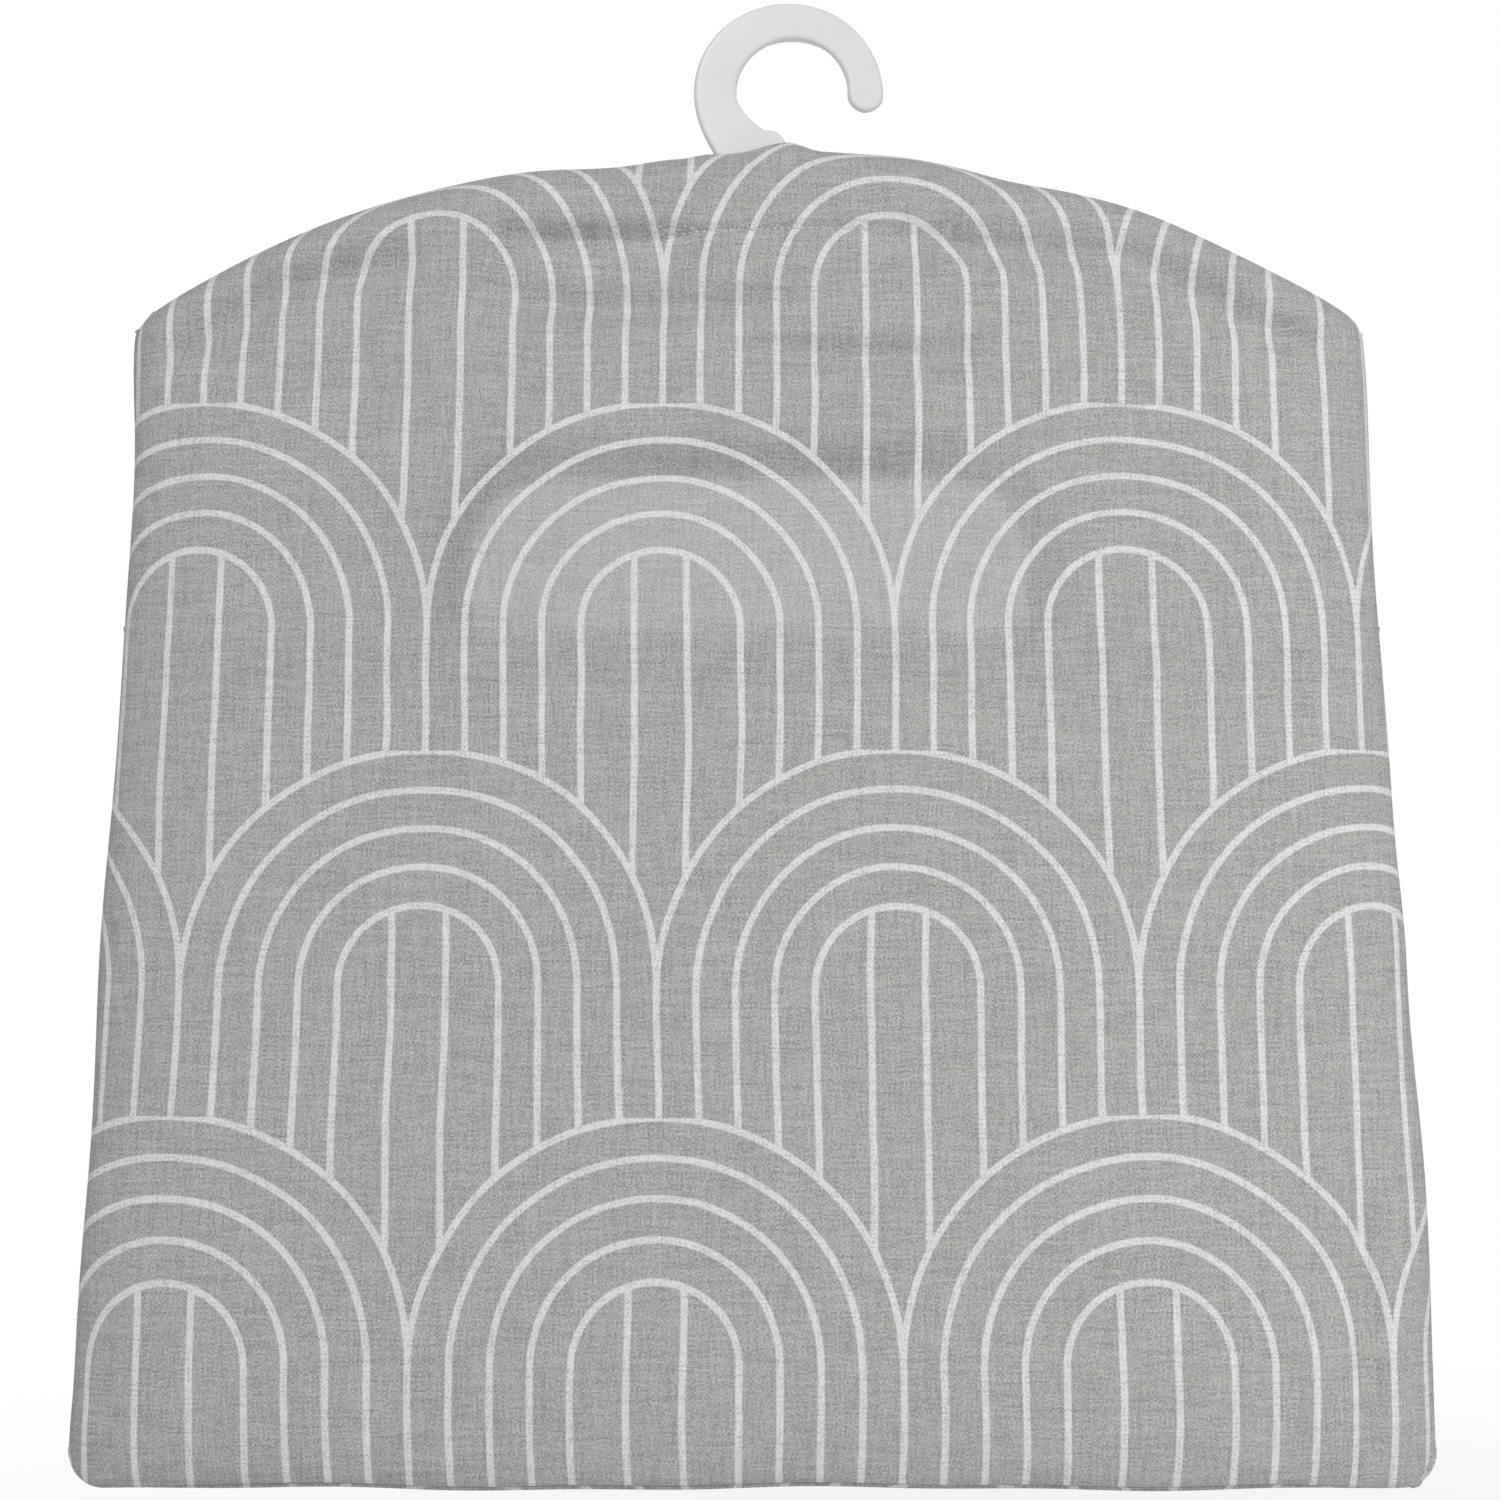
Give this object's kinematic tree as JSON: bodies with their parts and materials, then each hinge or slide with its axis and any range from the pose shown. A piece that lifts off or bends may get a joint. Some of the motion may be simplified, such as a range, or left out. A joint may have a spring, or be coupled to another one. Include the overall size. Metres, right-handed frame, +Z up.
{
  "type": "peg bag",
  "caption": "Flat cloth bag for clothes pegs, sewn round a bow-shaped plastic hanger with an open hook, with an arched bound mouth on one face.",
  "frame": {"origin": "the point inside the hook's crown that rests on the line", "axes": "+Z up, +X to the right of the closed face, -Y out of the closed face, +Y out of the face with the mouth"},
  "size_m": [0.306, 0.0189, 0.3564],
  "materials": {
    "white_plastic": "satin white moulded plastic, slightly translucent",
    "printed_cotton": "plain weave warm grey cotton with white printed lines",
    "binding_cotton": "plain weave warm grey cotton, folded",
    "sewing_thread": "spun polyester sewing thread"
  },
  "bodies": {
    "hung_bag": {"hanger": "white_plastic", "back_panel": "printed_cotton", "front_upper_panel": "printed_cotton", "mouth_binding": "binding_cotton", "left_shoulder_seam_thread": "sewing_thread", "right_shoulder_seam_thread": "sewing_thread", "left_side_seam_thread": "sewing_thread", "right_side_seam_thread": "sewing_thread", "left_mouth_seam_thread": "sewing_thread", "right_mouth_seam_thread": "sewing_thread", "bottom_seam_thread": "sewing_thread", "binding_stitching": "sewing_thread", "hanger_tack_stitching": "sewing_thread"},
    "lower_front": {"front_lower_panel": "printed_cotton", "hem_stitching": "sewing_thread"}
  },
  "joints": [
    {"name": "mouth_gape", "type": "hinge", "parent": "hung_bag", "child": "lower_front", "pos_m": [-0.0105, 0, -0.3465], "axis": [-1, 0, 0], "range_deg": [0, 12], "stiffness_Nm_per_rad": 0.5}
  ]
}
